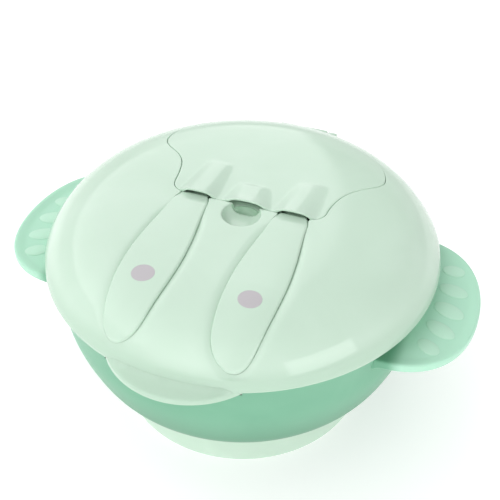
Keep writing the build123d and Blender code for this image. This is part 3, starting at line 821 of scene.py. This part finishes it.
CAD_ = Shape()
fork_plan = [(-3.7, 14.3), (3.7, 14.3), (4.5, 19.0), (9.0, 25.5), (9.8, 31.0), (9.4, 42.5), (8.7, 46.0), (7.9, 47.1), (7.1, 46.0), (6.4, 42.5), (6.1, 34.6), (4.6, 32.6), (3.1, 34.6),
             (2.0, 43.6), (1.0, 47.4), (0.0, 48.3), (-1.0, 47.4), (-2.0, 43.6), (-3.1, 34.6), (-4.6, 32.6), (-6.1, 34.6), (-6.4, 42.5), (-7.1, 46.0), (-7.9, 47.1), (-8.7, 46.0), (-9.4, 42.5), (-9.8, 31.0), (-9.0, 25.5), (-4.5, 19.0)]
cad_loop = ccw(soften(resample(catmull(fork_plan, True, 8), 0.4), 2)) + np.array([UX, 0.0])
slab(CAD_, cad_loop, lambda x, y: np.interp(y, [14.2, 22.0, 30.0, 40.0, 50.0], [zt - 4.1, zt - 6.2, zt - 7.1, zt - 6.5, zt - 5.0]),
     lambda x, y: np.interp(y, [14.2, 20.0, 30.0, 40.0, 50.0], [zt - 6.9, zt - 8.0, zt - 8.9, zt - 8.3, zt - 6.5]), r=0.45, rb=0.45, fill=0.9, support=0.12, seg=4)
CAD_.build("fork_head", "fork", "head_soft", MAT["head"], replaces=("fork_tines",))


# ---------------------------------------------------------------- bowl with ears
B = Shape()
outer = catmull([(42.0, 11.2), (46.6, 13.6), (51.6, 17.7), (58.2, 24.7), (61.9, 32.7), (64.8, 42.7), (65.8, 52.7), (66.8, 61.2)], closed=False, n=7)
inner_w = catmull([(40.0, 13.6), (45.0, 15.6), (49.3, 19.0), (55.8, 25.8), (59.6, 33.2), (62.5, 42.9), (63.6, 52.8), (64.6, 61.2)], closed=False, n=7)
prof = [(0.0, 11.2), (20.0, 11.2), (30.9, 11.2), (31.45, 11.05), (31.6, 10.6), (31.6, 7.4), (31.75, 7.05), (32.1, 6.95), (34.2, 6.95), (34.55, 7.05), (34.7, 7.4), (34.7, 10.6), (34.85, 11.05), (35.4, 11.2), (40.5, 11.2)]
prof += [tuple(p) for p in outer]
prof += [(67.05, 61.65), (67.2, 61.95), (67.2, 62.5), (67.0, 62.95), (66.6, 63.35), (66.2, 63.5), (65.5, 63.5), (65.1, 63.4), (64.8, 63.1), (64.6, 62.6)]
prof += [tuple(p) for p in inner_w[::-1]]
prof += [(39.0, 13.45), (37.0, 13.4), (20.0, 13.4), (0.0, 13.4)]
revolve(B, prof, seg=288, closed=False)


def ear_r(phi):
    return 85.66 - 5.28 * phi - 22.5 * phi ** 2 + 11.8 * phi ** 3 - 174.2 * phi ** 4


phis = np.linspace(-0.541, 0.526, 160)
ear_out = np.array([(ear_r(p) * math.cos(p), ear_r(p) * math.sin(p)) for p in phis])
ear_in = np.array([(64.9 * math.cos(p), 64.9 * math.sin(p)) for p in np.linspace(0.525, -0.54, 60)])
ear_loop = soften(ccw(resample(np.vstack([ear_out, ear_in]), 0.6)), 4)
ear_edge = ccw(resample(np.vstack([ear_out, [[40.0, ear_out[-1, 1]], [40.0, ear_out[0, 1]]]]), 0.7))


def ear_top(x, y):
    sh = np.shape(x)
    p = np.column_stack([np.ravel(x), np.ravel(y)])
    d = -sdist(p, ear_edge)
    z = -5.3 - 0.7 * smooth01((d - 0.9) / 3.6)
    return (RIM + z).reshape(sh)


def ear_bot(x, y):
    rho = np.hypot(x, y)
    return RIM - 8.6 - 1.6 * np.clip(1 - (rho - 66.0) / 3.0, 0, 1) ** 2


E = Shape()
slab(E, ear_loop, ear_top, ear_bot, r=0.75, rb=0.9, fill=1.2, support=0.3, seg=6)
B.add(E)
B.add(E, mirror_x)
B.build("bowl_moulding", "bowl", "bowl_mint", MAT["bowl"], replaces=("bowl_shell",))

# grip pads
PADS = ((-16.4, -33.0, 4.3, 2.85), (-9.2, -28.5, 5.5, 3.1), (-1.6, -23.0, 5.6, 3.3), (6.3, -12.5, 5.2, 3.05), (14.2, -4.0, 3.9, 2.85))   # place, direction, half length, half width
for side, name, node in ((0, "right_pads", "right_grip_pads"), (1, "left_pads", "left_grip_pads")):
    P = Shape()
    for place, turn, half, wide in PADS:
        cx, cy = 75.6 * math.cos(math.radians(place)), 75.6 * math.sin(math.radians(place))
        c, s = math.cos(math.radians(turn)), math.sin(math.radians(turn))
        pts = []
        for t in np.linspace(0, 2 * math.pi, 88, endpoint=False):
            u, v = half * math.cos(t), wide * math.sin(t)
            pts.append((cx + c * u - s * v, cy + s * u + c * v))
        loop = ccw(np.array(pts))

        def pad_top(x, y, cx=cx, cy=cy, c=c, s=s, half=half, wide=wide):
            u = (c * (x - cx) + s * (y - cy)) / half
            v = (-s * (x - cx) + c * (y - cy)) / wide
            return ear_top(x, y) + 0.12 + 0.38 * np.clip(1 - u * u - v * v, 0, 1) ** 0.8

        def pad_bot(x, y):
            return ear_top(x, y) - 0.5

        slab(P, loop, pad_top, pad_bot, r=0.12, rb=0.05, fill=0.8, support=0.15, seg=3)
    if side:
        Q = Shape()
        Q.add(P, mirror_x)
        P = Q
    P.build(name, "bowl", "grip_soft", MAT["grip"], replaces=(node,))

# ---------------------------------------------------------------- suction cup
C = Shape()
cup_pts = [(0, 5.2), (30.0, 5.0), (38.0, 3.6), (41.5, 1.9), (44.2, 0.0), (46.2, 0.0), (46.4, 0.25), (46.3, 1.4), (45.6, 5.0), (44.4, 9.4), (43.6, 10.4), (42.4, 10.9), (40.2, 10.9), (39.35, 10.3), (39.3, 6.6), (30.0, 6.6), (0, 6.9)]
rad = [0, 2.0, 2.5, 1.5, 0.4, 0.1, 0.1, 1.0, 2.0, 1.4, 1.0, 0.8, 0.4, 0.4, 0.1, 1.0, 0]
revolve(C, fillet_profile(cup_pts, rad, 5), seg=256, closed=False)
C.build("cup_moulding", "suction_base", "cup_soft", MAT["cup"], replaces=("suction_cup",))

# carried-over CAD nodes get their material
for node, key in (("base_hub", "hub"), ("lid_seal_ring", "seal")):
    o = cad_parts[node]
    o.data.materials.clear()
    o.data.materials.append(MAT[key])

# ---------------------------------------------------------------- stage
bpy.context.scene.view_settings.view_transform = "Standard"
fm = bpy.data.materials.new("floor")
fm.use_nodes = True
fb = fm.node_tree.nodes["Principled BSDF"]
fb.inputs["Base Color"].default_value = (0.80, 0.80, 0.80, 1)
fb.inputs["Roughness"].default_value = 0.9
fb.inputs["Specular IOR Level"].default_value = 0.0
fb.inputs["Emission Color"].default_value = (1, 1, 1, 1)
fb.inputs["Emission Strength"].default_value = 0.38
me = bpy.data.meshes.new("floor")
me.from_pydata([(-6, -6, 0), (6, -6, 0), (6, 6, 0), (-6, 6, 0)], [], [(0, 1, 2, 3)])
me.materials.append(fm)
floor = bpy.data.objects.new("floor", me)
floor.location = (0, 0, -0.0002)
bpy.context.scene.collection.objects.link(floor)

world = bpy.data.worlds.new("studio")
bpy.context.scene.world = world
world.use_nodes = True
wb = world.node_tree.nodes["Background"]
wb.inputs["Color"].default_value = (1.0, 1.0, 1.0, 1)
wt = world.node_tree
wc = wt.nodes.new("ShaderNodeTexCoord")
wsep = wt.nodes.new("ShaderNodeSeparateXYZ")
wt.links.new(wc.outputs["Generated"], wsep.inputs["Vector"])


def w_math(op, a, b):
    n = wt.nodes.new("ShaderNodeMath")
    n.operation = op
    for k, v in enumerate((a, b)):
        if isinstance(v, (int, float)):
            n.inputs[k].default_value = v
        else:
            wt.links.new(v, n.inputs[k])
    return n.outputs["Value"]


def w_map(v, a, b, c, d):
    n = wt.nodes.new("ShaderNodeMapRange")
    for name, x in (("From Min", a), ("From Max", b), ("To Min", c), ("To Max", d)):
        n.inputs[name].default_value = x
    wt.links.new(v, n.inputs["Value"])
    return n.outputs["Result"]


# a broad overhead softbox to the left with a clean right edge, dim on the right, and a pale wall low down
side_l = w_map(w_math("ADD", wsep.outputs["X"], w_math("MULTIPLY", wsep.outputs["Y"], 0.22)), 0.015, -0.015, 0.0, 1.0)
high = w_map(wsep.outputs["Z"], 0.36, 0.42, 0.0, 1.0)
foot = w_math("MAXIMUM", high, w_math("MULTIPLY", w_map(wsep.outputs["Z"], 0.16, 0.24, 0.0, 0.8), w_map(wsep.outputs["X"], -0.55, -0.35, 0.0, 1.0)))
glow = w_math("MULTIPLY", w_math("MULTIPLY", side_l, foot), w_map(wsep.outputs["Z"], 0.42, 0.95, 1.60, 0.66))
level = w_math("ADD", w_map(wsep.outputs["Z"], 0.37, 0.41, 0.80, 0.52), glow)
wt.links.new(level, wb.inputs["Strength"])


def area(name, loc, aim, size, power, color=(1, 1, 1), size_y=None):
    ld = bpy.data.lights.new(name, "AREA")
    ld.shape = "RECTANGLE" if size_y else "SQUARE"
    ld.size = size
    if size_y:
        ld.size_y = size_y
    ld.energy = power
    ld.color = color
    o = bpy.data.objects.new(name, ld)
    o.location = loc
    o.rotation_mode = "QUATERNION"
    o.rotation_quaternion = (Vector(aim) - Vector(loc)).to_track_quat("-Z", "Y")
    bpy.context.scene.collection.objects.link(o)
    return o


area("softbox_right", (0.867, -0.51, 0.403), (0.044, -0.051, 0.07), 0.66, 1.75, size_y=0.33)

# ---------------------------------------------------------------- camera
cam_data = bpy.data.cameras.new("camera")
cam_data.sensor_width = 36.0
cam_data.sensor_fit = "HORIZONTAL"
cam_data.lens = 71.297
cam_data.clip_start, cam_data.clip_end = 0.01, 20.0
cam = bpy.data.objects.new("camera", cam_data)
f = Vector((-0.256992, 0.716008, -0.649067)).normalized()
r = Vector((0.94121, 0.33782, 0.0)).normalized()
u = r.cross(f)
cam.matrix_world = Matrix(((r.x, u.x, -f.x, 0.093894), (r.y, u.y, -f.y, -0.254162), (r.z, u.z, -f.z, 0.229078 + 0.0627), (0, 0, 0, 1)))
bpy.context.scene.collection.objects.link(cam)
bpy.context.scene.camera = cam
